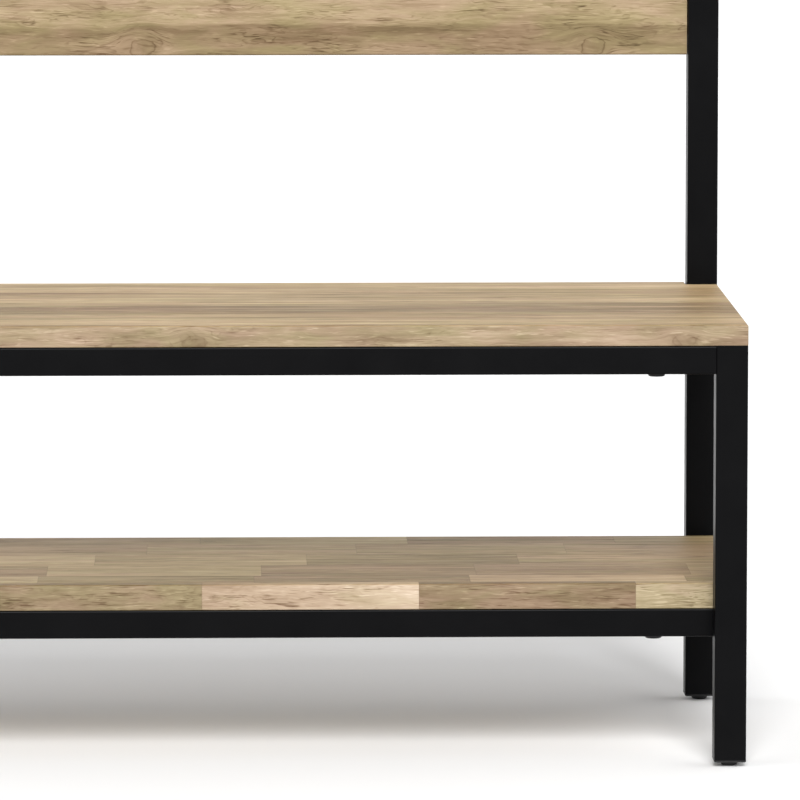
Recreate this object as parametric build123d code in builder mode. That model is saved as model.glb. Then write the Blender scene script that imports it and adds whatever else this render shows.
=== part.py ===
from build123d import *
import os

# Entryway bench: a black steel frame that carries a wooden seat, a wooden shelf and a back rail.
# The origin is on the floor under the middle of the bench. +X runs along the bench towards the
# right end, -Y is the front and +Z is up. All sizes are in millimetres.

# ---- Overall sizes ----
bench_width = 1066.0
bench_depth = 461.0
bench_height = 864.0
seat_height = 445.0
shelf_height = 181.5

# ---- Steel tube ----
leg_size = 32.0
rail_size = 28.5
tube_wall = 1.5
tube_corner = 2.0

# ---- Boards ----
seat_thickness = 21.0
seat_rear_setback = 5.0
shelf_thickness = 25.5
shelf_rear_gap = 32.0
back_rail_thickness = 21.0
back_rail_height = 150.0
back_rail_below_top = 27.0
board_rounding = 2.0
board_gap = 1.0

# ---- Tabs and screws that hold the back rail ----
tab_width = 35.0
tab_height = 110.0
tab_thickness = 3.0
tab_setback = 2.0
screw_radius = 2.2
screw_length = 16.0
screw_head_radius = 4.5
screw_head_height = 1.9
screw_pitch = 70.0

# ---- Bolts that hold the seat and the shelf from below ----
bolt_inset = 90.5
bolt_radius = 3.0
bolt_head_radius = 8.5
bolt_head_height = 2.2
bolt_head_rounding = 1.7
bolt_bite = 12.0
socket_size = 4.0
socket_depth = 1.8
washer_radius = 9.0
washer_thickness = 0.8
insert_radius = 5.0
insert_length = 13.0

# ---- Bolts that join the long rails to the side frames ----
end_plate_thickness = 3.0
joint_head_radius = 5.25
joint_head_height = 3.3
weld_nut_size = 10.0
weld_nut_thickness = 5.0
thread_runout = 2.0
access_hole_radius = 7.0
access_hole_inset = 26.0
weld_leg = 3.0

# ---- Feet, plugs and caps ----
foot_height = 4.7
foot_radius = 8.5
foot_rounding = 3.0
stem_radius = 4.0
stem_length = 24.0
stem_seat = 2.5
plug_flange = 2.0
plug_depth = 16.0
top_plug_depth = 6.0
cap_flange = 2.5
cap_rounding = 1.5

# ---- Clearances ----
fit_gap = 0.05
plug_gap = 0.15
bolt_hole_gap = 0.4
foot_gap = 0.1

# ---- Places that follow from the sizes ----
half_width = bench_width / 2
y_front = -bench_depth / 2
y_rear = bench_depth / 2
leg_bottom = foot_height + foot_gap
seat_underside = seat_height - seat_thickness
shelf_underside = shelf_height - shelf_thickness
seat_rail_z = seat_underside - rail_size / 2
shelf_rail_z = shelf_underside - rail_size / 2
leg_x = half_width - leg_size / 2
leg_inner_x = half_width - leg_size
side_rail_x = half_width - rail_size / 2
side_rail_inner_x = half_width - rail_size
front_leg_y = y_front + leg_size / 2
rear_post_y = y_rear - leg_size / 2
shelf_front_y = y_front + leg_size + board_gap
shelf_rear_y = y_rear - leg_size - shelf_rear_gap
shelf_depth = shelf_rear_y - shelf_front_y
back_rail_z = bench_height - back_rail_below_top - back_rail_height / 2
tab_rear_y = y_rear - tab_setback
tab_front_y = tab_rear_y - tab_thickness
bolt_x = half_width - bolt_inset
inner_corner = tube_corner - tube_wall

sides = {"left": -1, "right": 1}
seat_rail_rows = {"front": y_front + rail_size / 2, "rear": y_rear - rail_size / 2}
shelf_rail_rows = {"front": shelf_front_y + rail_size / 2, "rear": shelf_rear_y - rail_size / 2}
corners = {
    "front_left": (-leg_x, front_leg_y),
    "front_right": (leg_x, front_leg_y),
    "rear_left": (-leg_x, rear_post_y),
    "rear_right": (leg_x, rear_post_y),
}

os.makedirs("parts", exist_ok=True)


def save(builder, label):
    """Name a finished piece and write it."""
    builder.part.label = label
    export_step(builder.part, f"parts/{label}.step")


def square_tube(start, direction, size, length, holes):
    """Square tube from a start point; each hole is a plane, a radius and a depth."""
    across = (1, 0, 0) if direction[0] == 0 else (0, 1, 0)
    bore = size - 2 * tube_wall
    with BuildPart() as tube:
        with BuildSketch(Plane(origin=start, x_dir=across, z_dir=direction)):
            RectangleRounded(size, size, tube_corner)
            RectangleRounded(bore, bore, inner_corner, mode=Mode.SUBTRACT)
        extrude(amount=length)
        for plane, radius, depth in holes:
            with BuildSketch(plane):
                Circle(radius)
            extrude(amount=depth, mode=Mode.SUBTRACT)
    return tube


def rounded_board(board, corner_height):
    """Round every edge of a board's top and underside, and soften its standing corners."""
    fillet(board.edges().filter_by(Axis.Z), corner_height)
    fillet(board.faces().sort_by(Axis.Z)[-1].edges(), board_rounding)
    fillet(board.faces().sort_by(Axis.Z)[0].edges(), board_rounding / 2)


def facing(x, y, z, side):
    """Plane at a point that faces left (-1) or right (+1)."""
    return Plane(origin=(x, y, z), x_dir=(0, 1, 0), z_dir=(side, 0, 0))


# ---- Legs and posts ----
# Each inner face has one clearance hole where a long rail is bolted on at seat level.
tube_bottom = leg_bottom + plug_flange
post_top = bench_height - cap_flange
joint_hole_radius = bolt_radius + bolt_hole_gap

for side_name, side in sides.items():
    x_centre = side * leg_x
    front_hole = (
        facing(side * leg_inner_x, seat_rail_rows["front"], seat_rail_z, side),
        joint_hole_radius,
        2 * tube_wall,
    )
    rear_hole = (
        facing(side * leg_inner_x, seat_rail_rows["rear"], seat_rail_z, side),
        joint_hole_radius,
        2 * tube_wall,
    )
    front_leg = square_tube(
        (x_centre, front_leg_y, tube_bottom), (0, 0, 1), leg_size, seat_underside - tube_bottom, [front_hole]
    )
    save(front_leg, f"front_leg_{side_name}")
    rear_post = square_tube(
        (x_centre, rear_post_y, tube_bottom), (0, 0, 1), leg_size, post_top - tube_bottom, [rear_hole]
    )
    save(rear_post, f"rear_post_{side_name}")

# ---- Side rails, welded between a front leg and a rear post ----
side_rail_start_y = y_front + leg_size
side_rail_length = bench_depth - 2 * leg_size

for side_name, side in sides.items():
    seat_side_rail = square_tube(
        (side * side_rail_x, side_rail_start_y, seat_rail_z), (0, 1, 0), rail_size, side_rail_length, []
    )
    save(seat_side_rail, f"seat_side_rail_{side_name}")
    shelf_joint_holes = [
        (facing(side * side_rail_inner_x, row_y, shelf_rail_z, side), joint_hole_radius, 2 * tube_wall)
        for row_y in shelf_rail_rows.values()
    ]
    shelf_side_rail = square_tube(
        (side * side_rail_x, side_rail_start_y, shelf_rail_z),
        (0, 1, 0),
        rail_size,
        side_rail_length,
        shelf_joint_holes,
    )
    save(shelf_side_rail, f"shelf_side_rail_{side_name}")


# ---- Long rails, bolted between the side frames ----
def long_rail(row_y, rail_z, end_x):
    """Rail along X, drilled for the board bolts and with an access hole near each end."""
    rail_bottom = rail_z - rail_size / 2
    holes = []
    for side in sides.values():
        bolt_plane = Plane(origin=(side * bolt_x, row_y, rail_bottom))
        holes.append((bolt_plane, bolt_radius + bolt_hole_gap, rail_size))
        access_plane = Plane(origin=(side * (end_x - access_hole_inset), row_y, rail_bottom))
        holes.append((access_plane, access_hole_radius, 2 * tube_wall))
    return square_tube((-end_x, row_y, rail_z), (1, 0, 0), rail_size, 2 * end_x, holes)


for row_name, row_y in seat_rail_rows.items():
    seat_rail = long_rail(row_y, seat_rail_z, leg_inner_x)
    save(seat_rail, f"seat_rail_{row_name}")

for row_name, row_y in shelf_rail_rows.items():
    shelf_rail = long_rail(row_y, shelf_rail_z, side_rail_inner_x)
    save(shelf_rail, f"shelf_rail_{row_name}")

# ---- Bolted joints at the ends of the long rails ----
# A plate welded into each rail end takes the bolt, and a nut welded inside the leg or the side
# rail receives it. The head is reached through the access hole.
rail_joints = []
for row_y in seat_rail_rows.values():
    rail_joints += [(side * leg_inner_x, row_y, seat_rail_z, side) for side in sides.values()]
for row_y in shelf_rail_rows.values():
    rail_joints += [(side * side_rail_inner_x, row_y, shelf_rail_z, side) for side in sides.values()]

plate_size = rail_size - 2 * tube_wall - 2 * fit_gap

with BuildPart() as rail_end_plates:
    for x, y, z, side in rail_joints:
        with BuildSketch(facing(x - side * end_plate_thickness, y, z, side)):
            RectangleRounded(plate_size, plate_size, inner_corner)
            Circle(joint_hole_radius, mode=Mode.SUBTRACT)
        extrude(amount=end_plate_thickness)
save(rail_end_plates, "rail_end_plates")

with BuildPart() as frame_weld_nuts:
    for x, y, z, side in rail_joints:
        with BuildSketch(facing(x + side * tube_wall, y, z, side)):
            RegularPolygon(weld_nut_size / 2, 6, major_radius=False)
            Circle(bolt_radius + fit_gap, mode=Mode.SUBTRACT)
        extrude(amount=weld_nut_thickness)
save(frame_weld_nuts, "frame_weld_nuts")

joint_shank_length = end_plate_thickness + tube_wall + weld_nut_thickness + thread_runout

with BuildPart() as frame_bolts:
    for x, y, z, side in rail_joints:
        plate_face_x = x - side * end_plate_thickness
        with BuildSketch(facing(plate_face_x - side * joint_head_height, y, z, side)):
            Circle(joint_head_radius)
        extrude(amount=joint_head_height)
        with BuildSketch(facing(plate_face_x, y, z, side)):
            Circle(bolt_radius)
        extrude(amount=joint_shank_length)
        with BuildSketch(facing(plate_face_x - side * joint_head_height, y, z, side)):
            RegularPolygon(socket_size / 2, 6, major_radius=False)
        extrude(amount=socket_depth, mode=Mode.SUBTRACT)
save(frame_bolts, "frame_bolts")

# ---- Weld beads in the inner corners where the side rails meet the legs and posts ----
weld_length = rail_size - 2 * tube_corner
weld_rows = {y_front + leg_size: 1, y_rear - leg_size: -1}

with BuildPart() as side_frame_welds:
    for side in sides.values():
        for weld_y, inward in weld_rows.items():
            for rail_z in (seat_rail_z, shelf_rail_z):
                rail_bottom = rail_z - rail_size / 2
                run_start = Plane(
                    origin=(side * side_rail_x - weld_length / 2, weld_y, rail_bottom),
                    x_dir=(0, inward, 0),
                    z_dir=(1, 0, 0),
                )
                drop = -weld_leg if inward > 0 else weld_leg
                with BuildSketch(run_start):
                    with BuildLine():
                        Polyline((0, 0), (weld_leg, 0), (0, drop), close=True)
                    make_face()
                extrude(amount=weld_length)
save(side_frame_welds, "side_frame_welds")

# ---- Seat ----
# Its front and ends are flush with the frame, and its rear corners are notched round the posts.
seat_depth = bench_depth - seat_rear_setback
seat_centre_y = y_front + seat_depth / 2
notch_width = leg_size + board_gap
notch_depth = leg_size - seat_rear_setback + board_gap
notch_x = half_width - notch_width / 2
notch_y = y_rear - seat_rear_setback - notch_depth / 2
insert_hole_depth = insert_length + board_gap
seat_bolt_points = [(side * bolt_x, row_y) for side in sides.values() for row_y in seat_rail_rows.values()]

with BuildPart() as seat_board:
    with BuildSketch(Plane.XY.offset(seat_underside)):
        with Locations((0, seat_centre_y)):
            Rectangle(bench_width, seat_depth)
        with Locations((-notch_x, notch_y), (notch_x, notch_y)):
            Rectangle(notch_width, notch_depth, mode=Mode.SUBTRACT)
    extrude(amount=seat_thickness)
    rounded_board(seat_board, board_rounding / 2)
    with BuildSketch(Plane.XY.offset(seat_underside)):
        with Locations(*seat_bolt_points):
            Circle(insert_radius + fit_gap)
    extrude(amount=insert_hole_depth, mode=Mode.SUBTRACT)
save(seat_board, "seat_board")

# ---- Shelf ----
# It lies on the side rails and the two long rails, just behind the front legs.
shelf_centre_y = shelf_front_y + shelf_depth / 2
shelf_bolt_points = [(side * bolt_x, row_y) for side in sides.values() for row_y in shelf_rail_rows.values()]

with BuildPart() as shelf_board:
    with BuildSketch(Plane.XY.offset(shelf_underside)):
        with Locations((0, shelf_centre_y)):
            Rectangle(bench_width, shelf_depth)
    extrude(amount=shelf_thickness)
    rounded_board(shelf_board, board_rounding / 2)
    with BuildSketch(Plane.XY.offset(shelf_underside)):
        with Locations(*shelf_bolt_points):
            Circle(insert_radius + fit_gap)
    extrude(amount=insert_hole_depth, mode=Mode.SUBTRACT)
save(shelf_board, "shelf_board")


# ---- Bolts, washers and threaded inserts under the seat and the shelf ----
def board_fasteners(board_name, points, board_underside):
    """Write the bolts, washers and inserts that hold one board on its long rails."""
    rail_bottom = board_underside - rail_size
    head_top = rail_bottom - washer_thickness
    shank_length = washer_thickness + rail_size + bolt_bite
    with BuildPart() as bolts:
        with BuildSketch(Plane.XY.offset(head_top - bolt_head_height)):
            with Locations(*points):
                Circle(bolt_head_radius)
        extrude(amount=bolt_head_height)
        fillet(bolts.edges().group_by(Axis.Z)[0], bolt_head_rounding)
        with BuildSketch(Plane.XY.offset(head_top)):
            with Locations(*points):
                Circle(bolt_radius)
        extrude(amount=shank_length)
        with BuildSketch(Plane.XY.offset(head_top - bolt_head_height)):
            with Locations(*points):
                RegularPolygon(socket_size / 2, 6, major_radius=False)
        extrude(amount=socket_depth, mode=Mode.SUBTRACT)
    save(bolts, f"{board_name}_bolts")
    with BuildPart() as washers:
        with BuildSketch(Plane.XY.offset(head_top)):
            with Locations(*points):
                Circle(washer_radius)
                Circle(bolt_radius + bolt_hole_gap, mode=Mode.SUBTRACT)
        extrude(amount=washer_thickness)
    save(washers, f"{board_name}_washers")
    with BuildPart() as inserts:
        with BuildSketch(Plane.XY.offset(board_underside)):
            with Locations(*points):
                Circle(insert_radius)
                Circle(bolt_radius + fit_gap, mode=Mode.SUBTRACT)
        extrude(amount=insert_length)
    save(inserts, f"{board_name}_inserts")


board_fasteners("seat", seat_bolt_points, seat_underside)
board_fasteners("shelf", shelf_bolt_points, shelf_underside)

# ---- Back rail and the tabs that it is screwed to ----
back_rail_length = bench_width - 2 * leg_size - 2 * board_gap
screw_x = leg_inner_x - tab_width / 2
screw_heights = (back_rail_z - screw_pitch / 2, back_rail_z + screw_pitch / 2)
screw_points = [(side * screw_x, screw_z) for side in sides.values() for screw_z in screw_heights]


def standing(y):
    """Vertical plane across the bench that faces the front; its second axis points up."""
    return Plane(origin=(0, y, 0), x_dir=(1, 0, 0), z_dir=(0, -1, 0))


with BuildPart() as back_rail:
    with BuildSketch(standing(tab_front_y)):
        with Locations((0, back_rail_z)):
            Rectangle(back_rail_length, back_rail_height)
    extrude(amount=back_rail_thickness)
    fillet(back_rail.edges().filter_by(Axis.X), board_rounding)
    with BuildSketch(standing(tab_front_y)):
        with Locations(*screw_points):
            Circle(screw_radius + fit_gap)
    extrude(amount=screw_length + board_gap, mode=Mode.SUBTRACT)
save(back_rail, "back_rail")

for side_name, side in sides.items():
    tab_screw_points = [point for point in screw_points if point[0] * side > 0]
    with BuildPart() as back_tab:
        with BuildSketch(standing(tab_rear_y)):
            with Locations((side * screw_x, back_rail_z)):
                Rectangle(tab_width, tab_height)
            with Locations(*tab_screw_points):
                Circle(screw_radius + bolt_hole_gap, mode=Mode.SUBTRACT)
        extrude(amount=tab_thickness)
        free_end = back_tab.edges().filter_by(Axis.Y).sort_by(Axis.X)
        fillet(free_end[:2] if side > 0 else free_end[-2:], tab_thickness)
    save(back_tab, f"back_tab_{side_name}")

with BuildPart() as back_rail_screws:
    with BuildSketch(standing(tab_rear_y + screw_head_height)):
        with Locations(*screw_points):
            Circle(screw_head_radius)
    extrude(amount=screw_head_height)
    fillet(back_rail_screws.edges().group_by(Axis.Y)[-1], screw_head_height / 2)
    with BuildSketch(standing(tab_rear_y)):
        with Locations(*screw_points):
            Circle(screw_radius)
    extrude(amount=tab_thickness + screw_length)
save(back_rail_screws, "back_rail_screws")

# ---- Plugs and caps in the open tube ends ----
plug_size = leg_size - 2 * tube_wall - 2 * plug_gap

for side_name, side in sides.items():
    with BuildPart() as post_cap:
        with BuildSketch(Plane.XY.offset(post_top)):
            with Locations((side * leg_x, rear_post_y)):
                RectangleRounded(leg_size, leg_size, tube_corner)
        extrude(amount=cap_flange)
        fillet(post_cap.faces().sort_by(Axis.Z)[-1].edges(), cap_rounding)
        with BuildSketch(Plane.XY.offset(post_top - plug_depth)):
            with Locations((side * leg_x, rear_post_y)):
                Rectangle(plug_size, plug_size)
        extrude(amount=plug_depth)
    save(post_cap, f"post_cap_{side_name}")

with BuildPart() as leg_top_plugs:
    with BuildSketch(Plane.XY.offset(seat_underside - top_plug_depth)):
        with Locations((-leg_x, front_leg_y), (leg_x, front_leg_y)):
            Rectangle(plug_size, plug_size)
    extrude(amount=top_plug_depth)
save(leg_top_plugs, "leg_top_plugs")

for corner_name, (x, y) in corners.items():
    with BuildPart() as foot_plug:
        with BuildSketch(Plane.XY.offset(leg_bottom)):
            with Locations((x, y)):
                RectangleRounded(leg_size, leg_size, tube_corner)
        extrude(amount=plug_flange)
        fillet(foot_plug.faces().sort_by(Axis.Z)[0].edges(), plug_flange / 2)
        with BuildSketch(Plane.XY.offset(tube_bottom)):
            with Locations((x, y)):
                Rectangle(plug_size, plug_size)
        extrude(amount=plug_depth)
        with BuildSketch(Plane.XY.offset(leg_bottom)):
            with Locations((x, y)):
                Circle(stem_radius + fit_gap)
        extrude(amount=plug_flange + plug_depth, mode=Mode.SUBTRACT)
    save(foot_plug, f"foot_plug_{corner_name}")

# ---- Levelling feet ----
# A threaded stem runs in the plug, and a pad on its lower end stands on the floor.
for corner_name, (x, y) in corners.items():
    with BuildPart() as foot_pad:
        with BuildSketch(Plane.XY):
            with Locations((x, y)):
                Circle(foot_radius)
        extrude(amount=foot_height)
        fillet(foot_pad.edges().group_by(Axis.Z)[0], foot_rounding)
        with BuildSketch(Plane.XY.offset(foot_height - stem_seat)):
            with Locations((x, y)):
                Circle(stem_radius + fit_gap)
        extrude(amount=stem_seat, mode=Mode.SUBTRACT)
    save(foot_pad, f"foot_pad_{corner_name}")
    with BuildPart() as foot_stem:
        with BuildSketch(Plane.XY.offset(foot_height - stem_seat)):
            with Locations((x, y)):
                Circle(stem_radius)
        extrude(amount=stem_length)
    save(foot_stem, f"foot_stem_{corner_name}")
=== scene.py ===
"""Entryway bench: finishes, weld beads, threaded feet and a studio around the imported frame."""

import math
import random

import bmesh
import bpy
from bpy.props import FloatProperty, FloatVectorProperty, PointerProperty
from bpy.types import Operator, Panel, PropertyGroup
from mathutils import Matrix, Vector


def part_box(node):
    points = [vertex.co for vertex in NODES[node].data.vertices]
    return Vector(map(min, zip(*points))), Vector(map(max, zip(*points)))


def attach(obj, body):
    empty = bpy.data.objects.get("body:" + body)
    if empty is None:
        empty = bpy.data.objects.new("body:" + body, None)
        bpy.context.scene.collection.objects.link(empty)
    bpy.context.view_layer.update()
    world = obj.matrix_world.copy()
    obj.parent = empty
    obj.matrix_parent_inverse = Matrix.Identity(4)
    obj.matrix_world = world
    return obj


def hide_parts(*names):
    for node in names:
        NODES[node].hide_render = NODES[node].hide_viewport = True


bl_info = {
    "name": "Entryway Bench",
    "version": (1, 0, 0),
    "blender": (4, 5, 0),
    "location": "View3D > Sidebar > Bench",
    "description": "Finishes the pieces of an entryway bench and sets it in a studio",
    "category": "Object",
}

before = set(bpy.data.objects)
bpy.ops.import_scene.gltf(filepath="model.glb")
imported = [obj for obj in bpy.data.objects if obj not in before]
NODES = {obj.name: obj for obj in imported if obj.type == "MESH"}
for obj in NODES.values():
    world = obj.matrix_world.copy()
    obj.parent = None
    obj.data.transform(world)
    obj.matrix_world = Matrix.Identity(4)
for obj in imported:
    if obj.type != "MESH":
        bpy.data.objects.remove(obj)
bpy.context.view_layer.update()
MM = 0.001

CORNERS = ("front_left", "front_right", "rear_left", "rear_right")
SIDES = ("left", "right")


# ---------------------------------------------------------------------------------------------
# Colour and node helpers
# ---------------------------------------------------------------------------------------------
def linear(hex_colour):
    """Turn an sRGB hex value into a linear colour with alpha."""
    channels = [int(hex_colour[i:i + 2], 16) / 255 for i in (1, 3, 5)]
    return [c / 12.92 if c <= 0.04045 else ((c + 0.055) / 1.055) ** 2.4 for c in channels] + [1.0]


def node(tree, kind, inputs=(), out=0, stops=(), **settings):
    """Add a node with its settings and links, and return one of its outputs."""
    new = tree.nodes.new("ShaderNode" + kind)
    for name, value in settings.items():
        setattr(new, name, value)
    if stops:
        ramp = new.color_ramp
        while len(ramp.elements) < len(stops):
            ramp.elements.new(1.0)
        for element, (place, colour) in zip(ramp.elements, stops):
            element.position = place
            if isinstance(colour, str):
                element.color = linear(colour)
            elif isinstance(colour, tuple):
                element.color = (*colour, 1.0)
            else:
                element.color = (colour, colour, colour, 1.0)
    for key, value in inputs.items() if isinstance(inputs, dict) else enumerate(inputs):
        if isinstance(value, bpy.types.NodeSocket):
            tree.links.new(value, new.inputs[key])
        else:
            new.inputs[key].default_value = value
    return new.outputs[out] if new.outputs else new


def start_material(name):
    """An empty material and its node tree."""
    material = bpy.data.materials.new(name)
    material.use_nodes = True
    material.node_tree.nodes.clear()
    return material, material.node_tree


def finish_surface(tree, inputs):
    """Close a material with a Principled surface."""
    surface = node(tree, "BsdfPrincipled", inputs)
    node(tree, "OutputMaterial", {"Surface": surface})


def millimetres(tree):
    """Position on the piece in millimetres; it stays with the piece when the piece moves."""
    place = node(tree, "TexCoord", out="Object")
    return node(tree, "VectorMath", {0: place, "Scale": 1000.0}, operation="SCALE")


def paint(names, material):
    """Give the named pieces of the frame a material."""
    for name in names:
        slots = NODES[name].material_slots
        for slot in slots:
            slot.material = material


# ---------------------------------------------------------------------------------------------
# Steel, plastic and fastener finishes
# ---------------------------------------------------------------------------------------------
def powder_coated_steel(colour, roughness):
    """Mild steel tube with a baked polyester powder coat, satin black.

    The coat hides the metal: the eye gets a deep black with a soft sheen that turns bright at
    grazing angles, broken up by a very fine orange peel.
    """
    material, tree = start_material("powder_coated_mild_steel_satin_black")
    place = millimetres(tree)
    # Orange peel of a powder coat: waves about 1.4 mm apart and some hundredths deep.
    peel = node(tree, "TexNoise", {"Vector": place, "Scale": 1 / 1.4, "Detail": 2.0, "Roughness": 0.5})
    # The bake leaves broad, barely visible patches of duller coat, about 60 mm across.
    patch = node(tree, "TexNoise", {"Vector": place, "Scale": 1 / 60, "Detail": 3.0, "Roughness": 0.6})
    dull = node(tree, "MapRange", (patch, 0.3, 0.7, roughness - 0.03, roughness + 0.04))
    shade = node(tree, "ValToRGB", {"Fac": patch}, stops=[(0.3, colour[0]), (0.7, colour[1])])
    relief = node(tree, "Bump", {"Strength": 0.25, "Distance": 0.03 * MM, "Height": peel})
    finish_surface(tree, {"Base Color": shade, "Roughness": dull, "IOR": 1.5,
                          "Specular IOR Level": 0.07, "Normal": relief})
    return material


def black_oxide_steel():
    """Turned steel bolts and washers with a black oxide skin: dark, oily and slightly glossy."""
    material, tree = start_material("black_oxide_turned_steel")
    place = millimetres(tree)
    grain = node(tree, "TexNoise", {"Vector": place, "Scale": 1 / 0.6, "Detail": 3.0, "Roughness": 0.6})
    shade = node(tree, "ValToRGB", {"Fac": grain}, stops=[(0.3, "#141416"), (0.75, "#222225")])
    dull = node(tree, "MapRange", (grain, 0.3, 0.7, 0.34, 0.5))
    finish_surface(tree, {"Base Color": shade, "Metallic": 0.6, "Roughness": dull})
    return material


def zinc_plated_steel():
    """Bright zinc on machined steel: a cool grey metal with fine turning marks round the thread."""
    material, tree = start_material("bright_zinc_plated_machined_steel")
    place = millimetres(tree)
    # Turning marks run round the part, 0.2 mm apart; drawn at 0.4 mm so that they show.
    marks = node(tree, "VectorMath", {0: place, 1: (0.3, 0.3, 2.5)}, operation="MULTIPLY")
    turned = node(tree, "TexNoise", {"Vector": marks, "Scale": 1.0, "Detail": 2.0})
    shade = node(tree, "ValToRGB", {"Fac": turned}, stops=[(0.3, "#9C9EA3"), (0.7, "#C6C8CC")])
    dull = node(tree, "MapRange", (turned, 0.3, 0.7, 0.26, 0.42))
    finish_surface(tree, {"Base Color": shade, "Metallic": 1.0, "Roughness": dull})
    return material


def moulded_polyethylene(name, dark, light, roughness):
    """Black polyethylene from a spark-eroded mould: dead matt with a fine even grain."""
    material, tree = start_material(name)
    place = millimetres(tree)
    # Mould grain is about 0.3 mm; drawn at 0.5 mm so that it shows.
    grain = node(tree, "TexNoise", {"Vector": place, "Scale": 1 / 0.5, "Detail": 2.0})
    shade = node(tree, "ValToRGB", {"Fac": grain}, stops=[(0.3, dark), (0.7, light)])
    dull = node(tree, "MapRange", (grain, 0.3, 0.7, roughness, roughness + 0.1))
    relief = node(tree, "Bump", {"Strength": 0.4, "Distance": 0.04 * MM, "Height": grain})
    finish_surface(tree, {"Base Color": shade, "Roughness": dull, "IOR": 1.5,
                          "Specular IOR Level": 0.35, "Normal": relief})
    return material


# ---------------------------------------------------------------------------------------------
# Wood
# ---------------------------------------------------------------------------------------------
# Sizes of the figure along and across the grain, in millimetres.
STREAK_SIZE = (110.0, 4.2)
FIBRE_SIZE = (22.0, 1.1)
WANDER_SIZE = (46.0, 16.0)
GATHER_SIZE = (64.0, 13.0)
VESSEL_SIZE = (26.0, 1.1)
FLECK_SIZE = (16.0, 1.5)
DRIFT_SIZE = (90.0, 24.0)
PATCH_EDGE_SIZE = (34.0, 5.0)
KNOT_EDGE_SIZE = (20.0, 12.0)
FIBRE_WANDER = 6.0
RING_SPACING = 4.5
RING_WAVER = 9.0
HALF_GLUE_LINE = 0.4
GLUE_COLOUR = "#4A3826"
GLUE_SHARE = 0.22

# Tones from dark to pale. The boards' wood is a little greyer than the back rail's.
BOARD_OLIVE = [(0.0, "#574834"), (0.25, "#6E6048"), (0.5, "#877A5E"), (0.75, "#A29479"), (1.0, "#BAAE93")]
BOARD_PINK = [(0.0, "#604A3A"), (0.25, "#786451"), (0.5, "#917D68"), (0.75, "#AA9782"), (1.0, "#C2B19E")]
RAIL_OLIVE = [(0.0, "#4F432E"), (0.25, "#6A5B42"), (0.5, "#837556"), (0.75, "#9F9070"), (1.0, "#B9AA8A")]
RAIL_PINK = [(0.0, "#594532"), (0.25, "#725E48"), (0.5, "#8C7860"), (0.75, "#A8937B"), (1.0, "#C2AD98")]


def grain_noise(tree, place, along, across, detail=2.0, roughness=0.55, distortion=0.0):
    """Noise whose patches are long in the grain's direction; sizes in millimetres."""
    density = (1 / along, 1 / across, 1 / across)
    scaled = node(tree, "VectorMath", (place, density), operation="MULTIPLY")
    return node(tree, "TexNoise", {"Vector": scaled, "Scale": 1.0, "Detail": detail,
                                   "Roughness": roughness, "Distortion": distortion})


def add_scaled(tree, total, value, amount):
    """A running sum plus a value times an amount."""
    return node(tree, "Math", (value, amount, total), operation="MULTIPLY_ADD")


def add_centred(tree, total, noise, amount):
    """A running sum plus a noise that is centred on zero and scaled."""
    centred = node(tree, "Math", (noise, 0.5), operation="SUBTRACT")
    return add_scaled(tree, total, centred, amount)


def knotty_grain(tree, place, knots):
    """Lead the grain round each knot, and darken the knots' uneven rims.

    A knot is (centre, radii). The result is the bent position, the rims and the hearts.
    """
    uneven = grain_noise(tree, place, *KNOT_EDGE_SIZE, 3.0, 0.5)
    rims = hearts = 0.0
    for centre, radii in knots:
        away = node(tree, "VectorMath", (place, centre), operation="SUBTRACT")
        share = node(tree, "VectorMath", (away, [1 / r for r in radii]), operation="MULTIPLY")
        reach = node(tree, "VectorMath", (share,), out="Value", operation="LENGTH")
        # Grain lines spread apart near the knot, so heights above its centre shrink there.
        fade = node(tree, "MapRange", (reach, 0.5, 3.2, 0.75, 0.0), interpolation_type="SMOOTHERSTEP")
        spread = node(tree, "VectorMath", {0: away, 1: (0.0, 0.0, -1.0)}, operation="MULTIPLY")
        spread = node(tree, "VectorMath", {0: spread, "Scale": fade}, operation="SCALE")
        place = node(tree, "VectorMath", (place, spread), operation="ADD")
        rough_reach = add_centred(tree, reach, uneven, 1.2)
        rim = node(tree, "ValToRGB", {"Fac": rough_reach}, stops=[(0.0, 0.25), (0.62, 0.0), (0.8, 0.15),
                                                                 (0.9, 1.0), (1.0, 0.0)])
        heart = node(tree, "MapRange", (rough_reach, 0.5, 1.9, 1.0, 0.0), interpolation_type="SMOOTHSTEP")
        rims = node(tree, "Math", (rims, rim), operation="ADD")
        hearts = node(tree, "Math", (hearts, heart), operation="ADD")
    return place, rims, hearts


def figure_patches(tree, place, figure, patches):
    """Pale and dark patches with uneven edges: (centre, radii, tone)."""
    uneven = grain_noise(tree, place, *PATCH_EDGE_SIZE, 4.0, 0.6)
    for centre, radii, tone in patches:
        away = node(tree, "VectorMath", (place, centre), operation="SUBTRACT")
        share = node(tree, "VectorMath", (away, [1 / r for r in radii]), operation="MULTIPLY")
        reach = node(tree, "VectorMath", (share,), out="Value", operation="LENGTH")
        reach = add_centred(tree, reach, uneven, 2.2)
        inside = node(tree, "MapRange", (reach, 0.75, 1.2, 1.0, 0.0), interpolation_type="SMOOTHSTEP")
        figure = add_scaled(tree, figure, inside, tone)
    return figure


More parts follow.
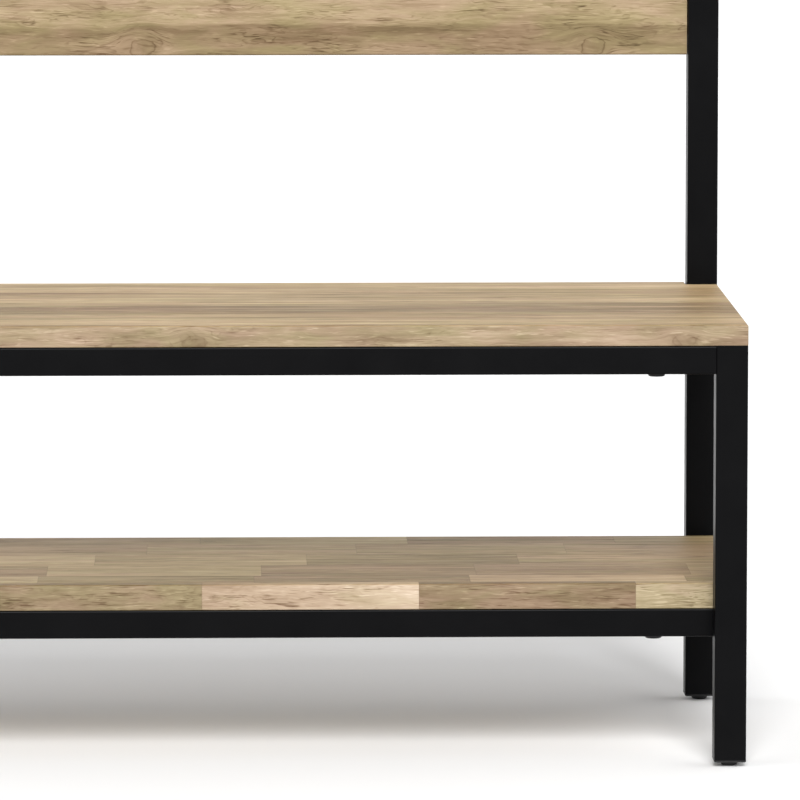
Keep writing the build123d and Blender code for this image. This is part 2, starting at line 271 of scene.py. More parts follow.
def glued_staves(tree, place, staves):
    """Butcher block: rows of glued staves, each with its own tone and its own cut of grain."""
    x, y, _ = node(tree, "SeparateXYZ", (place,), out=0).node.outputs
    # Row 0 is the lipping on the front edge, row 1 is narrow, and the rest are equal.
    behind = node(tree, "Math", (y, staves["lipping_back"]), operation="SUBTRACT")
    rows = node(tree, "Math", (behind, staves["row"] - staves["first_row"]), operation="ADD")
    rows = node(tree, "Math", (rows, 1 / staves["row"]), operation="MULTIPLY")
    row = node(tree, "Math", (rows,), operation="FLOOR")
    row = node(tree, "Math", (row, 1.0), operation="ADD")
    on_top = node(tree, "Math", (behind, 0.0), operation="GREATER_THAN")
    row = node(tree, "Math", (row, on_top), operation="MULTIPLY")
    # Each row's end joints are moved along by its own amount.
    shifts = staves["shifts"]
    row_share = node(tree, "Math", (row, 1 / len(shifts), 0.5 / len(shifts)), operation="MULTIPLY_ADD")
    shift = node(tree, "ValToRGB", {"Fac": row_share},
                 stops=[(i / len(shifts), s / staves["length"]) for i, s in enumerate(shifts)])
    shift.node.color_ramp.interpolation = "CONSTANT"
    run = node(tree, "Math", (x, 1 / staves["length"]), operation="MULTIPLY")
    run = node(tree, "Math", (run, shift), operation="SUBTRACT")
    stave = node(tree, "Math", (run,), operation="FLOOR")
    along = node(tree, "Math", (run,), operation="FRACT")
    cell = node(tree, "CombineXYZ", (stave, row, staves["seed"]))
    offset = node(tree, "TexWhiteNoise", {"Vector": cell}, out="Color")
    # Tone, its slope along the stave, and hue come from one list: five staves for each row.
    tones = [stave_tone for row_tones in staves["tones"] for stave_tone in row_tones]
    per_row = len(staves["tones"][0])
    number = node(tree, "Math", (stave, 3.0), operation="ADD")
    number = node(tree, "Clamp", (number, 0.0, per_row - 1.0))
    number = node(tree, "Math", (row, float(per_row), number), operation="MULTIPLY_ADD")
    number = node(tree, "Math", (number, 1 / len(tones), 0.5 / len(tones)), operation="MULTIPLY_ADD")
    tone_list = node(tree, "ValToRGB", {"Fac": number},
                     stops=[(i / len(tones), tuple(0.5 + v for v in tone)) for i, tone in enumerate(tones)])
    tone_list.node.color_ramp.interpolation = "CONSTANT"
    level, slope, hue = node(tree, "SeparateXYZ", (tone_list,), out=0).node.outputs
    tone = node(tree, "Math", (level, 0.5), operation="SUBTRACT")
    slope = node(tree, "Math", (slope, 0.5), operation="SUBTRACT")
    half_way = node(tree, "Math", (along, 0.5), operation="SUBTRACT")
    tone = add_scaled(tree, tone, half_way, slope)
    move = node(tree, "VectorMath", {0: offset, 1: (2000.0, 400.0, 400.0)}, operation="MULTIPLY")
    moved = node(tree, "VectorMath", (place, move), operation="ADD")
    # Glue line: a hair of darker wood where staves meet end to end or side by side.
    to_end = node(tree, "Math", (half_way,), operation="ABSOLUTE")
    end_start = 0.5 - HALF_GLUE_LINE / staves["length"]
    end_line = node(tree, "Math", (to_end, end_start), operation="GREATER_THAN")
    across = node(tree, "Math", (rows,), operation="FRACT")
    across = node(tree, "Math", (across, 0.5), operation="SUBTRACT")
    across = node(tree, "Math", (across,), operation="ABSOLUTE")
    side_start = 0.5 - HALF_GLUE_LINE / staves["row"]
    side_line = node(tree, "Math", (across, side_start), operation="GREATER_THAN")
    line = node(tree, "Math", (end_line, side_line), operation="MAXIMUM")
    return moved, tone, hue, line


def end_grain(tree, place, pith):
    """Where a board is cut across: how far a point faces along the board, and its growth rings."""
    facing = node(tree, "TexCoord", out="Normal")
    facing = node(tree, "SeparateXYZ", (facing,), out=0)
    facing = node(tree, "Math", (facing,), operation="ABSOLUTE")
    cut = node(tree, "MapRange", (facing, 0.6, 0.9, 0.0, 1.0))
    away = node(tree, "VectorMath", (place, pith), operation="SUBTRACT")
    away = node(tree, "VectorMath", (away, (0.0, 1.0, 1.0)), operation="MULTIPLY")
    radius = node(tree, "VectorMath", (away,), out="Value", operation="LENGTH")
    uneven = node(tree, "TexNoise", {"Vector": place, "Scale": 1 / 24, "Detail": 3.0})
    radius = add_centred(tree, radius, uneven, RING_WAVER)
    # Growth rings are 4 mm to 5 mm apart and end in a thin dark line.
    ring = node(tree, "Math", (radius, 1 / RING_SPACING), operation="MULTIPLY")
    ring = node(tree, "Math", (ring,), operation="FRACT")
    ring = node(tree, "ValToRGB", {"Fac": ring}, stops=[(0.0, 0.1), (0.5, 0.3), (0.88, 1.0), (1.0, 0.1)])
    ring = node(tree, "Math", (ring, cut), operation="MULTIPLY")
    return cut, ring


def grain_bands_and_painted_light(tree, place, figure, spec):
    """Light and dark bands that lie side by side across the board, with uneven edges. On the seat and back
    rail they are grain; on the shelf they are painted light, a lift towards the back where the seat shades
    it.
    """
    axis, low, high, stops = spec["across"]
    along, across, amount = spec["waver"]
    height = node(tree, "SeparateXYZ", (place,), out=axis)
    waver = grain_noise(tree, place, along, across, 3.0, 0.6)
    height = add_centred(tree, height, waver, amount)
    share = node(tree, "MapRange", (height, low, high, 0.0, 1.0))
    band = node(tree, "ValToRGB", {"Fac": share}, stops=[(p, 0.5 + v) for p, v in stops])
    return add_centred(tree, figure, band, 1.0)


def wandering_grain(tree, place, lipping, spec):
    """Stretch the figure on the boards' faces and let the fibres wander by a few millimetres."""
    stretch = node(tree, "MapRange", (lipping, 0.0, 1.0, spec["face_stretch"], 1.0))
    stretch = node(tree, "CombineXYZ", (stretch, 1.0, 1.0))
    place = node(tree, "VectorMath", (place, stretch), operation="MULTIPLY")
    place = node(tree, "VectorMath", (place, spec["shift"]), operation="ADD")
    along, across = WANDER_SIZE
    density = (1 / along, 1 / across, 1 / across)
    wander = node(tree, "VectorMath", (place, density), operation="MULTIPLY")
    wander = node(tree, "TexNoise", {"Vector": wander, "Scale": 1.0, "Detail": 2.0}, out="Color")
    wander = node(tree, "VectorMath", (wander, (0.5, 0.5, 0.5)), operation="SUBTRACT")
    wander = node(tree, "VectorMath", (wander, (0.0, FIBRE_WANDER, FIBRE_WANDER)), operation="MULTIPLY")
    return node(tree, "VectorMath", (place, wander), operation="ADD")


def dark_and_pale_marks(tree, place, figure, blotch, hearts, spec):
    """Contour lines, vessels and pale flecks; the result is the figure and the vessels."""
    # Dark fibres and contour lines gather in some places and leave others plain.
    gather = grain_noise(tree, place, *GATHER_SIZE, 2.0, 0.6)
    gather = node(tree, "MapRange", (gather, 0.46, 0.62, 0.0, 1.0))
    if hearts is not None:
        shown_hearts = node(tree, "Math", (hearts, spec["knot_lines"]), operation="MULTIPLY")
        gather = node(tree, "Math", (gather, shown_hearts), operation="MAXIMUM")
    # Contours are the level lines of the blotches, 1 mm to 2 mm wide.
    contour = node(tree, "Math", (blotch, 13.0), operation="MULTIPLY")
    contour = node(tree, "Math", (contour,), operation="FRACT")
    contour = node(tree, "ValToRGB", {"Fac": contour},
                   stops=[(0.0, 0.0), (0.62, 0.0), (0.9, 1.0), (1.0, 0.0)])
    contour = node(tree, "Math", (contour, gather), operation="MULTIPLY")
    figure = add_scaled(tree, figure, contour, -spec["contour"])
    # Vessels are 0.3 mm wide; drawn at 1 mm so that they show.
    vessel = grain_noise(tree, place, *VESSEL_SIZE, 1.0, 0.5)
    vessel = node(tree, "MapRange", (vessel, 0.57, 0.7, 0.0, 1.0))
    shown = node(tree, "MapRange", (gather, 0.0, 1.0, 0.25, 1.0))
    vessel = node(tree, "Math", (vessel, shown), operation="MULTIPLY")
    figure = add_scaled(tree, figure, vessel, -spec["vessel"])
    # Pale flecks of short cross grain.
    fleck = grain_noise(tree, place, *FLECK_SIZE, 1.0, 0.5)
    fleck = node(tree, "MapRange", (fleck, 0.62, 0.74, 0.0, 1.0))
    return add_scaled(tree, figure, fleck, spec["fleck"]), vessel


def tan_colour(tree, place, figure, hue, spec):
    """Colour that drifts between olive tan and pink tan; all faces but the front get a painted warm tint
    that cancels the bluish sheen of the room's light on them.
    """
    olive = node(tree, "ValToRGB", {"Fac": figure}, stops=spec["olive"])
    pink = node(tree, "ValToRGB", {"Fac": figure}, stops=spec["pink"])
    drift = grain_noise(tree, place, *DRIFT_SIZE, 2.0, 0.6, 0.5)
    if hue is not None:
        drift = add_centred(tree, drift, hue, 0.5)
    drift = node(tree, "MapRange", (drift, 0.36, 0.64, 0.0, 1.0))
    colour = node(tree, "Mix", {0: drift, 6: olive, 7: pink}, out=2, data_type="RGBA")
    # Painted light: all faces but the front are multiplied by a tint that cancels the room's bluish sheen
    # on them and evens their brightness with the front.
    sheen_tint_mask = node(tree, "TexCoord", out="Normal")
    sheen_tint_mask = node(tree, "SeparateXYZ", (sheen_tint_mask,), out=1)
    sheen_tint_mask = node(tree, "MapRange", (sheen_tint_mask, -0.9, -0.5, 0.0, 1.0))
    return node(tree, "Mix", {0: sheen_tint_mask, 6: colour, 7: (*spec["painted_sheen_tint"], 1.0)}, out=2,
                data_type="RGBA", blend_type="MULTIPLY")


def mango_wood(name, spec):
    """Planed mango wood with its edges lipped, under a clear matt lacquer.

    The eye gets blotches that drift between olive tan and pink tan, long soft streaks, thin
    brown contour lines and short dark fibres that gather round the figure, and a low sheen.
    """
    material, tree = start_material(name)
    place = millimetres(tree)
    figure = 0.5
    line = rims = hearts = hue = None
    back = spec["lipping_back"]
    lipping = node(tree, "SeparateXYZ", (place,), out=1)
    lipping = node(tree, "MapRange", (lipping, back - 0.5, back, 1.0, 0.0))
    if "knots" in spec:
        place, rims, hearts = knotty_grain(tree, place, spec["knots"])
    figure = grain_bands_and_painted_light(tree, place, figure, spec)
    if "patches" in spec:
        figure = figure_patches(tree, place, figure, spec["patches"])
    if "staves" in spec:
        place, tone, hue, line = glued_staves(tree, place, spec["staves"])
        figure = node(tree, "Math", (figure, tone), operation="ADD")
    # Cut fibres drink the lacquer, so the ends dry darker than the faces.
    cut, ring = end_grain(tree, place, spec["pith"])
    figure = add_scaled(tree, figure, cut, -0.05)
    figure = add_scaled(tree, figure, ring, -0.14)
    # Painted shade: the front lipping, with the board's front face, is darkened a little so that it reads
    # darker than the top.
    figure = add_scaled(tree, figure, lipping, spec["lipping_painted_shade"])

    place = wandering_grain(tree, place, lipping, spec)
    along, across, amount = spec["blotch"]
    blotch = grain_noise(tree, place, along, across, 3.0, 0.55, 0.4)
    streak = grain_noise(tree, place, *STREAK_SIZE, 3.0, 0.6)
    fibre = grain_noise(tree, place, *FIBRE_SIZE, 2.0, 0.6)
    figure = add_centred(tree, figure, blotch, amount)
    figure = add_centred(tree, figure, streak, spec["streak"])
    figure = add_centred(tree, figure, fibre, spec["fibre"])
    figure, vessel = dark_and_pale_marks(tree, place, figure, blotch, hearts, spec)
    if rims is not None:
        figure = add_scaled(tree, figure, rims, -spec["rim"])
        figure = add_scaled(tree, figure, hearts, -spec["heart"])

    # The faces' figure is stronger or weaker than the lipping's.
    face_share = node(tree, "Math", (1.0, lipping), operation="SUBTRACT")
    strength = node(tree, "Math", (face_share, spec["face_contrast"] - 1.0, 1.0), operation="MULTIPLY_ADD")
    figure = node(tree, "Math", (figure, 0.5), operation="SUBTRACT")
    figure = node(tree, "Math", (figure, strength, 0.5), operation="MULTIPLY_ADD")
    colour = tan_colour(tree, place, figure, hue, spec)
    if line is not None:
        line = node(tree, "Math", (line, GLUE_SHARE), operation="MULTIPLY")
        colour = node(tree, "Mix", {0: line, 6: colour, 7: linear(GLUE_COLOUR)}, out=2, data_type="RGBA")

    height = node(tree, "Math", (vessel, -0.7, fibre), operation="MULTIPLY_ADD")
    relief = node(tree, "Bump", {"Strength": 0.4, "Distance": 0.08 * MM, "Height": height})
    mean = spec["roughness"]
    dull = node(tree, "MapRange", (streak, 0.3, 0.7, mean + 0.06, mean - 0.06))
    finish_surface(tree, {"Base Color": colour, "Roughness": dull, "IOR": 1.5,
                          "Specular IOR Level": 0.05, "Normal": relief})
    return material


# ---------------------------------------------------------------------------------------------
# Settings
# ---------------------------------------------------------------------------------------------
class BenchFinish(PropertyGroup):
    """Finish of the steel frame."""

    coat_roughness: FloatProperty(
        name="Coat roughness", description="Roughness of the satin powder coat",
        default=0.35, min=0.05, max=1.0)
    weld_leg: FloatProperty(
        name="Weld size", description="Leg length of the weld beads", default=3.0 * MM, unit="LENGTH")
    weld_ripple: FloatProperty(
        name="Weld ripple", description="Distance between the ripples of a bead",
        default=2.2 * MM, unit="LENGTH")
    thread_pitch: FloatProperty(
        name="Thread pitch", description="Pitch of the M8 foot stems", default=1.25 * MM, unit="LENGTH")


class BenchStudio(PropertyGroup):
    """Camera, lights and floor."""

    camera_place: FloatVectorProperty(
        name="Camera position", description="Where the camera stands, from the origin on the floor",
        default=(0.0125, -6.9148, 1.1205), subtype="TRANSLATION", unit="LENGTH")
    camera_pitch: FloatProperty(
        name="Camera pitch", description="How far the camera looks down", default=math.radians(6.397),
        subtype="ANGLE")
    camera_yaw: FloatProperty(
        name="Camera yaw", description="How far the camera looks towards the right end",
        default=math.radians(1.492), subtype="ANGLE")
    lens: FloatProperty(name="Lens", description="Focal length in millimetres", default=304.9)
    key_strength: FloatProperty(
        name="Key strength", description="Irradiance of the soft key light", default=4.1)
    key_elevation: FloatProperty(
        name="Key elevation", description="Height of the key light above the floor's plane",
        default=math.radians(32), subtype="ANGLE")
    key_spread: FloatProperty(
        name="Key spread", description="Angle that the soft key light fills", default=math.radians(26),
        subtype="ANGLE")
    room_strength: FloatProperty(
        name="Room strength", description="Strength of the white backdrop's light", default=2.05)
    side_fill: FloatProperty(
        name="Side fill", description="Light from the sides, as a share of the backdrop's", default=0.73)
    floor_size: FloatProperty(
        name="Floor size", description="Length of the floor's side", default=80.0, unit="LENGTH")


# ---------------------------------------------------------------------------------------------
# Mesh helpers
# ---------------------------------------------------------------------------------------------
def add_piece(name, build, material, body):
    """Turn a filled bmesh into a shaded piece that rides on a body."""
    mesh = bpy.data.meshes.new(name)
    build.to_mesh(mesh)
    build.free()
    mesh.materials.append(material)
    for polygon in mesh.polygons:
        polygon.use_smooth = True
    piece = bpy.data.objects.new(name, mesh)
    bpy.context.scene.collection.objects.link(piece)
    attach(piece, body)
    return piece


def loft(build, rings):
    """Skin a list of equal rings of points and close both ends."""
    rows = [[build.verts.new(point) for point in ring] for ring in rings]
    count = len(rows[0])
    for low, high in zip(rows, rows[1:]):
        for i in range(count):
            j = (i + 1) % count
            build.faces.new((low[i], low[j], high[j], high[i]))
    build.faces.new(list(reversed(rows[0])))
    build.faces.new(rows[-1])


# ---------------------------------------------------------------------------------------------
# Operators
# ---------------------------------------------------------------------------------------------
class BENCH_OT_steel_frame(Operator):
    """Powder coat the tubes, the back tabs and the rail end plates"""

    bl_idname = "bench.steel_frame"
    bl_label = "Steel Frame"

    def execute(self, context):
        finish = context.scene.bench_finish
        coat = powder_coated_steel(("#050506", "#070708"), finish.coat_roughness)
        names = [n for n, o in NODES.items() if o.material_slots[0].name == "powder_coated_steel"]
        if not names:
            raise RuntimeError("the frame has no powder-coated pieces")
        paint(names, coat)
        return {"FINISHED"}


class BENCH_OT_weld_beads(Operator):
    """Lay rippled weld beads under the ends of the side rails"""

    bl_idname = "bench.weld_beads"
    bl_label = "Weld Beads"

    def execute(self, context):
        finish = context.scene.bench_finish
        margin = 2.0 * MM
        down = Vector((0, 0, -1))
        build = bmesh.new()
        draw = random.Random(8)
        for level in ("seat", "shelf"):
            for side in SIDES:
                low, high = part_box(f"{level}_side_rail_{side}")
                for y, inward in ((low.y, 1), (high.y, -1)):
                    start = Vector((low.x + margin, y, low.z))
                    end = Vector((high.x - margin, y, low.z))
                    self.bead(build, draw, finish, start, end, Vector((0, inward, 0)), down)
        coat = bpy.data.materials["powder_coated_mild_steel_satin_black"]
        beads = add_piece("side_rail_weld_beads", build, coat, "bench")
        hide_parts("side_frame_welds")
        return {"FINISHED"}

    @staticmethod
    def bead(build, draw, finish, start, end, first, second):
        """One convex bead in the corner between two faces, with a ripple for each drop of weld."""
        length = (end - start).length
        steps = max(8, round(length / finish.weld_ripple * 5))
        arc = 6
        if (end - start).cross(first).dot(second) < 0:
            first, second = second, first
        rings = []
        for step in range(steps + 1):
            share = step / steps
            phase = (share * length / finish.weld_ripple) % 1.0
            taper = min(1.0, 8 * share + 0.25, 8 * (1 - share) + 0.25)
            swell = 0.9 + 0.1 * math.sqrt(phase) + draw.uniform(-0.02, 0.02)
            size = finish.weld_leg * taper * swell
            centre = start.lerp(end, share)
            ring = [centre.copy()]
            for i in range(arc + 1):
                turn = math.pi / 2 * i / arc
                bulge = 0.72 + 0.28 * abs(math.cos(2 * turn))
                ring.append(centre + size * bulge * (math.cos(turn) * first + math.sin(turn) * second))
            rings.append(ring)
        loft(build, rings)


class BENCH_OT_seat(Operator):
    """Give the seat board its wood"""

    bl_idname = "bench.seat"
    bl_label = "Seat"

    def execute(self, context):
        low, high = (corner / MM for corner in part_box("seat_board"))
        spec = {
            "shift": (340.0, 120.0, 40.0),
            "lipping_back": low.y + 14.0,
            # Painted shade on the front lipping and front face.
            "lipping_painted_shade": -0.02,
            "face_stretch": 0.42,
            "face_contrast": 1.45,
            # Painted light: warms and brightens the top, back and ends against the front.
            "painted_sheen_tint": (1.12, 1.03, 0.82),
            "knots": [((-18.0, low.y, low.z + 5), (15.0, 16.0, 7.0)),
                      ((470.0, low.y, low.z + 5), (13.0, 16.0, 6.0))],
            "pith": (0.0, low.y + 190, low.z - 70),
            "knot_lines": 0.7,
            "rim": 0.1,
            "heart": 0.12,
            "across": (1, low.y, high.y, [(0.0, 0.0), (0.03, 0.0), (0.04, 0.08), (0.11, 0.1), (0.22, 0.01),
                                          (0.33, -0.13), (0.44, -0.08), (0.5, 0.02), (0.56, 0.09),
                                          (0.64, 0.01), (0.7, -0.01), (0.8, 0.06), (1.0, 0.11)]),
            "waver": (700.0, 60.0, 30.0),
            "blotch": (95.0, 17.0, 0.62),
            "streak": 0.5,
            "fibre": 0.3,
            "contour": 0.14,
            "vessel": 0.3,
            "fleck": 0.2,
            "roughness": 0.55,
            "olive": BOARD_OLIVE,
            "pink": BOARD_PINK,
        }
        paint(["seat_board"], mango_wood("planed_mango_wood_matt_lacquer_seat", spec))
        return {"FINISHED"}


class BENCH_OT_shelf(Operator):
    """Give the shelf its butcher-block staves"""

    bl_idname = "bench.shelf"
    bl_label = "Shelf"

    def execute(self, context):
        low, high = (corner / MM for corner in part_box("shelf_board"))
        spec = {
            "shift": (90.0, 300.0, 70.0),
            "lipping_back": low.y + 16.0,
            # Painted shade on the front lipping and front face.
            "lipping_painted_shade": -0.03,
            "face_stretch": 0.45,
            "face_contrast": 1.3,
            # Painted light: warms the top, back and ends to cancel the room's bluish sheen.
            "painted_sheen_tint": (1.03, 0.97, 0.79),
            "pith": (0.0, low.y + 150, low.z - 60),
            # Painted light: the shelf grows steadily lighter from 30% of its depth to the back, where the
            # seat above shades it.
            "across": (1, low.y, high.y, [(0.0, 0.0), (0.3, 0.0), (1.0, 0.14)]),
            "waver": (300.0, 60.0, 20.0),
            "staves": {
                "lipping_back": low.y + 16.0,
                "first_row": 50.0,
                "row": 80.0,
                "length": 217.3,
                "shifts": (206.5, 258.8, 266.5, 313.5, 366.0, 421.0),
                "seed": 4.0,
                # Each row from the left: (tone, its slope along the stave, hue), for five staves.
                "tones": (
                    ((0.03, 0.0, 0.1), (-0.1, 0.09, -0.1), (0.2, 0.3, 0.35),
                     (-0.18, -0.06, 0.1), (0.13, 0.0, -0.35)),
                    ((0.17, 0.0, 0.0), (0.0, 0.0, -0.2), (-0.09, 0.0, 0.1),
                     (0.12, 0.07, 0.4), (-0.04, 0.0, 0.0)),
                    ((-0.05, 0.04, 0.1), (0.12, 0.0, -0.2), (-0.06, 0.0, 0.0),
                     (-0.08, 0.0, 0.2), (0.06, 0.0, 0.0)),
                    ((0.11, 0.0, 0.0), (0.04, 0.06, -0.1), (-0.09, -0.06, -0.2),
                     (-0.03, 0.07, 0.1), (0.08, 0.0, 0.1)),
                    ((-0.01, 0.0, 0.1), (0.02, 0.0, -0.1), (-0.03, 0.05, 0.0),
                     (-0.07, -0.12, 0.2), (0.04, 0.0, -0.2)),
                    ((-0.05, 0.09, 0.0), (0.06, 0.09, -0.3), (-0.12, -0.04, 0.1),
                     (-0.06, 0.05, 0.0), (0.02, 0.0, 0.0)),
                ),
            },
            "blotch": (80.0, 15.0, 0.42),
            "streak": 0.34,
            "fibre": 0.35,
            "contour": 0.12,
            "vessel": 0.5,
            "fleck": 0.2,
            "roughness": 0.55,
            "olive": BOARD_OLIVE,
            "pink": BOARD_PINK,
        }
        paint(["shelf_board"], mango_wood("glued_mango_staves_matt_lacquer_shelf", spec))
        return {"FINISHED"}


class BENCH_OT_back_rail(Operator):
    """Give the back rail its wood"""

    bl_idname = "bench.back_rail"
    bl_label = "Back Rail"

    def execute(self, context):
        low, high = (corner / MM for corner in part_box("back_rail"))
        spec = {
            "shift": (20.0, 700.0, 11.0),
            "lipping_back": low.y - 10.0,
            "lipping_painted_shade": 0.0,
            "face_stretch": 1.0,
            "face_contrast": 0.88,
            "painted_sheen_tint": (1.0, 1.0, 1.0),
            "knots": [((-73.0, low.y, low.z + 8), (15.0, 60.0, 11.0)),
                      ((401.0, low.y, low.z + 8), (14.0, 60.0, 10.0)),
                      ((-330.0, low.y, low.z + 102), (11.0, 60.0, 9.0))],
            "patches": [((105.0, low.y, low.z + 19), (52.0, 60.0, 8.0), -0.12),
                        ((172.0, low.y, low.z + 25), (80.0, 60.0, 4.5), -0.12),
                        ((300.0, low.y, low.z + 22), (45.0, 60.0, 4.0), -0.07),
                        ((-33.0, low.y, low.z + 45), (32.0, 60.0, 7.0), 0.09),
                        ((436.0, low.y, low.z + 45), (32.0, 60.0, 7.0), 0.08),
                        ((-38.0, low.y, low.z + 22), (34.0, 60.0, 6.0), -0.07),
                        ((432.0, low.y, low.z + 23), (34.0, 60.0, 6.0), -0.07),
                        ((-76.0, low.y, low.z + 3), (5.0, 60.0, 1.3), -0.4),
                        ((399.0, low.y, low.z + 3), (5.0, 60.0, 1.3), -0.4)],
            "pith": (0.0, low.y + 80, low.z + 60),
            "knot_lines": 0.3,
            "rim": 0.28,
            "heart": 0.06,
            "across": (2, low.z, high.z, [(0.0, -0.07), (0.1, -0.11), (0.19, -0.12), (0.215, 0.07),
                                          (0.37, 0.12), (0.5, 0.04), (0.58, -0.07), (0.63, 0.05),
                                          (0.85, 0.1), (1.0, -0.02)]),
            "waver": (210.0, 24.0, 20.0),
            "blotch": (120.0, 17.0, 0.5),
            "streak": 0.36,
            "fibre": 0.28,
            "contour": 0.24,
            "vessel": 0.42,
            "fleck": 0.16,
            "roughness": 0.55,
            "olive": RAIL_OLIVE,
            "pink": RAIL_PINK,
        }
        paint(["back_rail"], mango_wood("planed_mango_wood_matt_lacquer_back_rail", spec))
        return {"FINISHED"}


class BENCH_OT_fasteners(Operator):
    """Finish the bolts, washers, screws, inserts and nuts"""

    bl_idname = "bench.fasteners"
    bl_label = "Fasteners"

    def execute(self, context):
        black = black_oxide_steel()
        bright = zinc_plated_steel()
        for name, piece in NODES.items():
            if piece.material_slots[0].name == "black_fasteners":
                paint([name], black)
            elif piece.material_slots[0].name == "zinc_fasteners":
                paint([name], bright)
        return {"FINISHED"}


class BENCH_OT_plugs_and_caps(Operator):
    """Finish the moulded plugs and caps in the tube ends"""

    bl_idname = "bench.plugs_and_caps"
    bl_label = "Plugs and Caps"

    def execute(self, context):
        plastic = moulded_polyethylene("moulded_polyethylene_black", "#0C0C0C", "#131313", 0.5)
        names = [f"foot_plug_{corner}" for corner in CORNERS]
        names += [f"post_cap_{side}" for side in SIDES]
        paint(names + ["leg_top_plugs"], plastic)
        return {"FINISHED"}


class BENCH_OT_feet(Operator):
    """Finish the foot pads and cut the threads of the stems"""

    bl_idname = "bench.feet"
    bl_label = "Levelling Feet"

    def execute(self, context):
        nylon = moulded_polyethylene("moulded_nylon_black", "#0A0A0A", "#101010", 0.42)
        bright = bpy.data.materials["bright_zinc_plated_machined_steel"]
        paint([f"foot_pad_{corner}" for corner in CORNERS], nylon)
        for corner in CORNERS:
            build = bmesh.new()
            self.thread(build, context.scene.bench_finish.thread_pitch, *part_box(f"foot_stem_{corner}"))
            stem = add_piece(f"threaded_stem_{corner}", build, bright, f"foot_{corner}")
            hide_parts(f"foot_stem_{corner}")
        return {"FINISHED"}

    @staticmethod
    def thread(build, pitch, low, high):
        """A right-hand thread: each ring of points follows the helix once round the stem."""
        radius = (high.x - low.x) / 2
        depth = 0.61 * pitch
        centre = (low + high) / 2
        around = 40
        per_turn = 8
        chamfer = pitch
        steps = round((high.z - low.z) / pitch * per_turn)
        rings = []
        for step in range(steps + 1):
            z = low.z + (high.z - low.z) * step / steps
            edge = min(z - low.z, high.z - z)
            limit = radius - depth * max(0.0, 1 - edge / chamfer)
            ring = []
            for i in range(around):
                turn = 2 * math.pi * i / around
                phase = ((z - low.z) / pitch - i / around) % 1.0
                crest = min(1.0, max(0.0, 1.6 * abs(2 * phase - 1) - 0.3))
                reach = min(limit, radius - depth + depth * crest)
                ring.append((centre.x + reach * math.cos(turn), centre.y + reach * math.sin(turn), z))
            rings.append(ring)
        loft(build, rings)


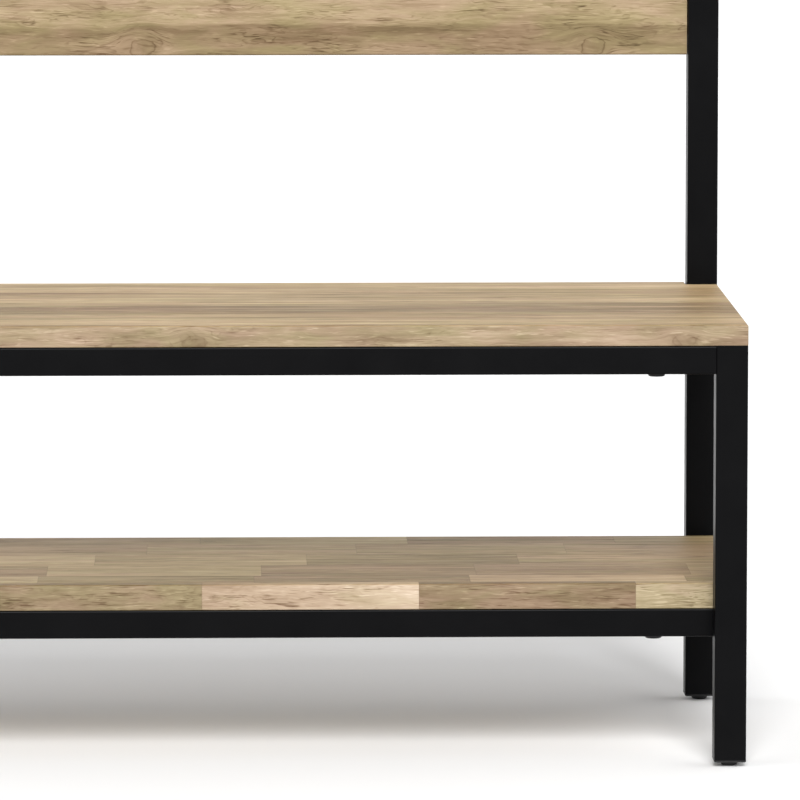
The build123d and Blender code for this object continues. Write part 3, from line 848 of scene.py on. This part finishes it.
class BENCH_OT_studio(Operator):
    """Set the floor, the room, the key light and the camera"""

    bl_idname = "bench.studio"
    bl_label = "Studio"

    def execute(self, context):
        scene = context.scene
        studio = scene.bench_studio
        scene.view_settings.view_transform = "Standard"
        self.floor(scene, studio)
        self.room(scene, studio)
        light = bpy.data.lights.new("key_light", "SUN")
        light.energy = studio.key_strength
        light.angle = studio.key_spread
        key = bpy.data.objects.new("key_light", light)
        key.rotation_euler = (math.pi / 2 - studio.key_elevation, 0.0, 0.0)
        scene.collection.objects.link(key)
        camera = bpy.data.objects.new("camera", bpy.data.cameras.new("camera"))
        camera.data.lens = studio.lens
        camera.data.clip_end = 200.0
        camera.location = studio.camera_place
        camera.rotation_euler = (math.pi / 2 - studio.camera_pitch, 0.0, -studio.camera_yaw)
        scene.collection.objects.link(camera)
        scene.camera = camera
        return {"FINISHED"}

    @staticmethod
    def floor(scene, studio):
        """A plain pale floor that runs past the frame on every side."""
        build = bmesh.new()
        bmesh.ops.create_grid(build, x_segments=1, y_segments=1, size=studio.floor_size / 2)
        mesh = bpy.data.meshes.new("studio_floor")
        build.to_mesh(mesh)
        build.free()
        floor = bpy.data.objects.new("studio_floor", mesh)
        scene.collection.objects.link(floor)
        material, tree = start_material("matt_white_studio_paper")
        finish_surface(tree, {"Base Color": linear("#EDEDED"), "Roughness": 0.9, "Specular IOR Level": 0.0})
        mesh.materials.append(material)

    @staticmethod
    def room(scene, studio):
        """A white room: a bright backdrop low behind, a dim ceiling and front, and fill from the sides."""
        world = bpy.data.worlds.new("studio_room")
        world.use_nodes = True
        scene.world = world
        tree = world.node_tree
        tree.nodes.clear()
        direction = node(tree, "TexCoord", out="Generated")
        x, y, z = node(tree, "SeparateXYZ", (direction,), out=0).node.outputs
        # Angle up from the horizon in front, over the ceiling, to the horizon behind.
        front = node(tree, "Math", (y, -1.0), operation="MULTIPLY")
        turn = node(tree, "Math", (z, front), operation="ARCTAN2")
        share = node(tree, "Math", (turn, 1 / math.pi), operation="MULTIPLY")
        # Dim in front and overhead, and at full strength low behind the bench.
        dim, full = 0.05, 1.0
        arch = node(tree, "ValToRGB", {"Fac": share},
                    stops=[(0.0, dim), (0.8, dim), (0.84, full), (1.0, full)])
        sideways = node(tree, "Math", (x,), operation="ABSOLUTE")
        sides = node(tree, "MapRange", (sideways, 0.3, 0.75, 0.0, 1.0), interpolation_type="SMOOTHSTEP")
        arch = node(tree, "Mix", {0: sides, 2: arch, 3: studio.side_fill}, out=0, data_type="FLOAT")
        arch = node(tree, "Math", (arch, studio.room_strength), operation="MULTIPLY")
        seen = node(tree, "LightPath", out="Is Camera Ray")
        strength = node(tree, "Mix", {0: seen, 2: arch, 3: 1.0}, out=0, data_type="FLOAT")
        glow = node(tree, "Background", {"Color": (1.0, 1.0, 1.0, 1.0), "Strength": strength})
        node(tree, "OutputWorld", {"Surface": glow})


class BENCH_PT_panel(Panel):
    """Buttons for the bench's pieces and the studio"""

    bl_label = "Entryway Bench"
    bl_idname = "BENCH_PT_panel"
    bl_space_type = "VIEW_3D"
    bl_region_type = "UI"
    bl_category = "Bench"

    def draw(self, context):
        layout = self.layout
        for group in (context.scene.bench_finish, context.scene.bench_studio):
            for name in group.__annotations__:
                layout.prop(group, name)
        for operator in OPERATORS:
            layout.operator(operator.bl_idname)


OPERATORS = (
    BENCH_OT_steel_frame,
    BENCH_OT_weld_beads,
    BENCH_OT_seat,
    BENCH_OT_shelf,
    BENCH_OT_back_rail,
    BENCH_OT_fasteners,
    BENCH_OT_plugs_and_caps,
    BENCH_OT_feet,
    BENCH_OT_studio,
)
CLASSES = (BenchFinish, BenchStudio, *OPERATORS, BENCH_PT_panel)


def register():
    for cls in CLASSES:
        bpy.utils.register_class(cls)
    bpy.types.Scene.bench_finish = PointerProperty(type=BenchFinish)
    bpy.types.Scene.bench_studio = PointerProperty(type=BenchStudio)


def unregister():
    del bpy.types.Scene.bench_studio
    del bpy.types.Scene.bench_finish
    for cls in reversed(CLASSES):
        bpy.utils.unregister_class(cls)


def main():
    """Register the add-on and build every piece in order."""
    register()
    for operator in OPERATORS:
        group, name = operator.bl_idname.split(".")
        getattr(getattr(bpy.ops, group), name)()


if __name__ == "__main__":
    main()
